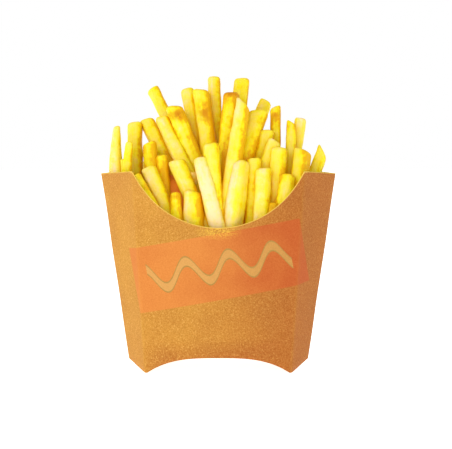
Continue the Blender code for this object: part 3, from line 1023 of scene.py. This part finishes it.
def fry_tree(material):
    """Bends a copy of the blank along each point's own curve, then roughens its surface."""
    tree = bpy.data.node_groups.new("fries along their curves", "GeometryNodeTree")
    for name, way, kind in (
        ("Geometry", "INPUT", "Geometry"),
        ("Blank", "INPUT", "Object"),
        ("Relief depth", "INPUT", "Float"),
        ("Relief size", "INPUT", "Float"),
        ("Geometry", "OUTPUT", "Geometry"),
    ):
        tree.interface.new_socket(name, in_out=way, socket_type="NodeSocket" + kind)
    given = add(tree, "NodeGroupInput").outputs
    blank = add(tree, "GeometryNodeObjectInfo", {"Object": given["Blank"]}).outputs["Geometry"]
    points = given["Geometry"]
    placed = add(tree, "GeometryNodeInstanceOnPoints", {"Points": points, "Instance": blank})
    real = add(tree, "GeometryNodeRealizeInstances", {"Geometry": placed})

    foot = read(tree, "foot", "FLOAT_VECTOR")
    control = read(tree, "control", "FLOAT_VECTOR")
    tip = read(tree, "tip", "FLOAT_VECTOR")
    half = read(tree, "half_width")
    across, deep, height = add(
        tree, "ShaderNodeSeparateXYZ", {0: read(tree, "section", "FLOAT_VECTOR")}
    ).outputs
    low = add(tree, "ShaderNodeMix", {"Factor": height, "A": foot, "B": control}, data_type="VECTOR")
    high = add(tree, "ShaderNodeMix", {"Factor": height, "A": control, "B": tip}, data_type="VECTOR")
    spine = add(tree, "ShaderNodeMix", {"Factor": height, "A": low, "B": high}, data_type="VECTOR")
    ahead = add(tree, "ShaderNodeVectorMath", {0: high, 1: low}, operation="SUBTRACT")
    along = add(tree, "ShaderNodeVectorMath", {0: ahead}, operation="NORMALIZE")
    side = read(tree, "side", "FLOAT_VECTOR")
    leaning = add(tree, "ShaderNodeVectorMath", {0: side, 1: along}, operation="PROJECT")
    level = add(tree, "ShaderNodeVectorMath", {0: side, 1: leaning}, operation="SUBTRACT")
    right = add(tree, "ShaderNodeVectorMath", {0: level}, operation="NORMALIZE")
    back = add(tree, "ShaderNodeVectorMath", {0: along, 1: right}, operation="CROSS_PRODUCT")

    taper = add(
        tree, "ShaderNodeMapRange",
        {"Value": height, "From Min": TAPER_FROM, "To Min": 0.0, "To Max": -1.0},
    )
    slim = add(
        tree, "ShaderNodeMath", {0: taper, 1: read(tree, "point"), 2: 1.0}, operation="MULTIPLY_ADD"
    )
    size = add(tree, "ShaderNodeMath", {0: half, 1: slim}, operation="MULTIPLY")
    wide = add(tree, "ShaderNodeMath", {0: across, 1: size}, operation="MULTIPLY")
    thick = add(tree, "ShaderNodeMath", {0: deep, 1: size}, operation="MULTIPLY")
    slant = add(tree, "ShaderNodeMath", {0: across, 1: read(tree, "cut")}, operation="MULTIPLY")
    slant = add(
        tree, "ShaderNodeMath", {0: slant, 1: height, 2: read(tree, "set_back")},
        operation="MULTIPLY_ADD",
    )
    slant = add(tree, "ShaderNodeMath", {0: slant, 1: half}, operation="MULTIPLY")
    place = spine
    for direction, distance in ((right, wide), (back, thick), (along, slant)):
        move = add(tree, "ShaderNodeVectorMath", {0: direction, "Scale": distance}, operation="SCALE")
        place = add(tree, "ShaderNodeVectorMath", {0: place, 1: move}, operation="ADD")
    bent = add(tree, "GeometryNodeSetPosition", {"Geometry": real, "Position": place})

    spot = add(tree, "GeometryNodeInputPosition")
    lumps = add(
        tree, "ShaderNodeTexNoise",
        {"Vector": spot, "W": read(tree, "own"), "Scale": given["Relief size"], "Detail": 3.0,
         "Roughness": 0.55},
        noise_dimensions="4D",
    )
    lump = add(tree, "ShaderNodeMath", {0: lumps, 1: RELIEF_MIDDLE}, operation="SUBTRACT")
    push = add(tree, "ShaderNodeMath", {0: lump, 1: given["Relief depth"]}, operation="MULTIPLY")
    outwards = add(tree, "GeometryNodeInputNormal")
    move = add(tree, "ShaderNodeVectorMath", {0: outwards, "Scale": push}, operation="SCALE")
    rough = add(tree, "GeometryNodeSetPosition", {"Geometry": bent, "Offset": move})
    smooth = add(tree, "GeometryNodeSetShadeSmooth", {"Geometry": rough})
    dressed = add(tree, "GeometryNodeSetMaterial", {"Geometry": smooth, "Material": material})
    add(tree, "NodeGroupOutput", {"Geometry": dressed})
    return tree


def ray_directions(count):
    """Directions spread evenly over a ball."""
    golden_turn = math.pi * (3.0 - math.sqrt(5.0))
    directions = []
    for step in range(count):
        z = 1.0 - 2.0 * (step + 0.5) / count
        radius = math.sqrt(1.0 - z * z)
        angle = golden_turn * step
        directions.append(Vector((radius * math.cos(angle), radius * math.sin(angle), z)))
    return directions


def sunk_shares_for_painted_shade(mesh):
    """How far each point is sunk between its neighbours: 0 in the open, 1 with fries all round. It
    paints shade in the seams.
    """
    tree = BVHTree.FromPolygons([v.co for v in mesh.vertices], [p.vertices for p in mesh.polygons])
    reach = SUNK_REACH * MM
    directions = ray_directions(SUNK_RAYS)
    shares = np.zeros(len(mesh.vertices), np.float32)
    for index, vertex in enumerate(mesh.vertices):
        if vertex.co.z < SUNK_FROM_Z * MM:
            continue
        normal = vertex.normal
        start = vertex.co + normal * (SUNK_LIFT * MM)
        sky = hidden = 0.0
        for direction in directions:
            facing = direction.dot(normal)
            if facing <= LEAST_FACING:
                continue
            sky += facing
            distance = tree.ray_cast(start, direction, reach)[3]
            if distance is not None:
                hidden += facing * (1.0 - FAR_CLEARER * distance / reach)
        shares[index] = hidden / sky
    return shares


def browned_shares(mesh, fries):
    """How browned each point is: a patch round the fry, a little below its end."""
    count = len(mesh.vertices)
    own = np.empty(count, np.float32)
    mesh.attributes["own"].data.foreach_get("value", own)
    section = np.empty(count * 3, np.float32)
    mesh.attributes["section"].data.foreach_get("vector", section)
    across, _, height = section.reshape(-1, 3).T
    shares = np.zeros(count, np.float32)
    for number, fry in enumerate(fries):
        mine = np.flatnonzero(np.rint(own) == number)
        below = (1.0 - height[mine]) * (fry.tip - fry.foot).length
        spread = BROWN_LENGTH + fry.brown_at * BROWN_LONGER
        half_wide = BROWN_HALF_SPOT if fry.brown_at > BROWN_END_TO else BROWN_HALF_END
        aside = (across[mine] - BROWN_RIGHT) / half_wide
        shares[mine] = fry.brown * np.exp(-(((below - fry.brown_at) / spread) ** 2) - aside**2)
    return shares


def make_fries():
    """The real fries, realized from the tree as one plain mesh."""
    fries = settled_fries()
    points = fry_points(fries)
    blank = blank_fry()
    material = fried_potato_material()
    grow = points.modifiers.new("Fries", "NODES")
    grow.node_group = fry_tree(material)
    sizes = {"Blank": blank, "Relief depth": RELIEF * MM, "Relief size": 1.0 / (RELIEF_SIZE * MM)}
    for item in grow.node_group.interface.items_tree:
        if item.name in sizes:
            grow[item.identifier] = sizes[item.name]
    bpy.context.view_layer.update()
    graph = bpy.context.evaluated_depsgraph_get()
    mesh = bpy.data.meshes.new_from_object(points.evaluated_get(graph))
    mesh.name = "fries_loose"
    for name, values in (("close", sunk_shares_for_painted_shade(mesh)), ("browned", browned_shares(mesh, fries))):
        mesh.attributes.new(name, "FLOAT", "POINT").data.foreach_set("value", values)
    for name in SHAPE_ATTRIBUTES:
        mesh.attributes.remove(mesh.attributes[name])
    bpy.data.objects.remove(points)
    bpy.data.objects.remove(blank)
    finish_piece(link_object("fries_loose", mesh), "fries")


def core_outline(z, reach_share=1.0, depth_share=1.0):
    """The heap's own outline inside the scoop at this height, or a share of it."""
    z_in = min(z, CORE_TOP_Z)
    fold = (half_front(z_in) - CORE_INSET / 2) * reach_share
    depth = (half_depth(z_in) - CORE_INSET) * depth_share
    reach = (half_side(z_in) - CORE_INSET * 1.5) * reach_share
    places = [(-fold, -depth), (fold, -depth), (reach, 0), (fold, depth), (-fold, depth), (-reach, 0)]
    corners = [Vector((x, y, z)) for x, y in places]
    shares = [step / CORE_STEPS for step in range(CORE_STEPS)]
    return [
        corner.lerp(after, share)
        for corner, after in zip(corners, corners[1:] + corners[:1])
        for share in shares
    ]


def make_core():
    """What lies under the fries that show, deep in the scoop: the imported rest, as a lumpy mound."""
    bm = bmesh.new()
    shares = [level / CORE_LEVELS for level in range(CORE_LEVELS + 1)]
    outlines = [core_outline(between(CORE_FLOOR_Z, CORE_TOP_Z, share)) for share in shares]
    outlines += [core_outline(*row) for row in MOUND]
    rings = []
    for outline in outlines:
        ring = []
        for point in outline:
            lumpy = min(1.0, max(0.0, point.z - CORE_TOP_Z) / LUMPS_RISE)
            point.z += lumpy * LUMP_HEIGHT * noise.noise(point / LUMP_SIZE)
            ring.append(bm.verts.new(point * MM))
        rings.append(ring)
    skin(bm, rings)
    for face in bm.faces:
        face.smooth = True
    mound = link_shape("fries_deep", bm)
    mound.data.materials.append(deep_heap_material())
    finish_piece(mound, "fries")


# The stage


def make_camera():
    """A camera at the photograph's viewing angle, a little above the rim."""
    place = Vector(CAMERA_PLACE) * MM
    target = Vector(CAMERA_TARGET) * MM
    data = bpy.data.cameras.new("camera")
    data.sensor_fit = "HORIZONTAL"
    data.sensor_width = 36.0
    data.lens = data.sensor_width * FOCAL_PIXELS / IMAGE_WIDTH
    data.clip_start = 0.01
    camera = link_object("camera", data)
    camera.location = place
    camera.rotation_euler = (target - place).to_track_quat("-Z", "Y").to_euler()
    bpy.context.scene.camera = camera


def area_light(name, place, size, watts, colour):
    """A square light that looks at the middle of the object, in metres and watts."""
    data = bpy.data.lights.new(name, "AREA")
    data.size = size
    data.energy = watts
    data.color = linear(colour)[:3]
    light = link_object(name, data)
    light.location = place
    aim = Vector((0.0, 0.0, 0.07)) - light.location
    light.rotation_euler = aim.to_track_quat("-Z", "Y").to_euler()


def make_floor():
    """A wide white sheet under the object."""
    mesh = bpy.data.meshes.new("floor")
    corners = [(x * FLOOR_HALF, y * FLOOR_HALF, 0) for x, y in ((-1, -1), (1, -1), (1, 1), (-1, 1))]
    mesh.from_pydata(corners, [], [(0, 1, 2, 3)])
    floor = link_object("floor", mesh)
    material, tree, shader = new_material("white studio sheet")
    white = linear("#ffffff")
    feed(tree, shader, {
        "Base Color": white, "Roughness": 0.9, "Emission Color": white, "Emission Strength": 0.9,
    })
    mesh.materials.append(material)


def make_lights():
    """A soft light from the upper left, a wide one from far in front, and white all round."""
    scene = bpy.context.scene
    world = bpy.data.worlds.new("white studio")
    world.use_nodes = True
    tree = world.node_tree
    seen = add(tree, "ShaderNodeLightPath").outputs["Is Camera Ray"]
    strength = add(tree, "ShaderNodeMapRange", {"Value": seen, "To Min": 0.8, "To Max": 1.0})
    tint = add(
        tree, "ShaderNodeMix", {"Factor": seen, "A": linear("#fffaf4"), "B": linear("#ffffff")},
        data_type="RGBA",
    )
    feed(tree, tree.nodes["Background"], {"Color": tint, "Strength": strength})
    scene.world = world
    area_light("key light", (-0.42, -0.27, 0.4), 0.3, 0.68, "#fffcee")
    area_light("fill light", (-0.15, -1.0, 0.2), 0.5, 0.95, "#ffffff")
    scene.view_settings.view_transform = "Standard"
    scene.view_settings.look = "None"


make_camera()
make_floor()
make_lights()
make_carton()
make_fries()
make_core()
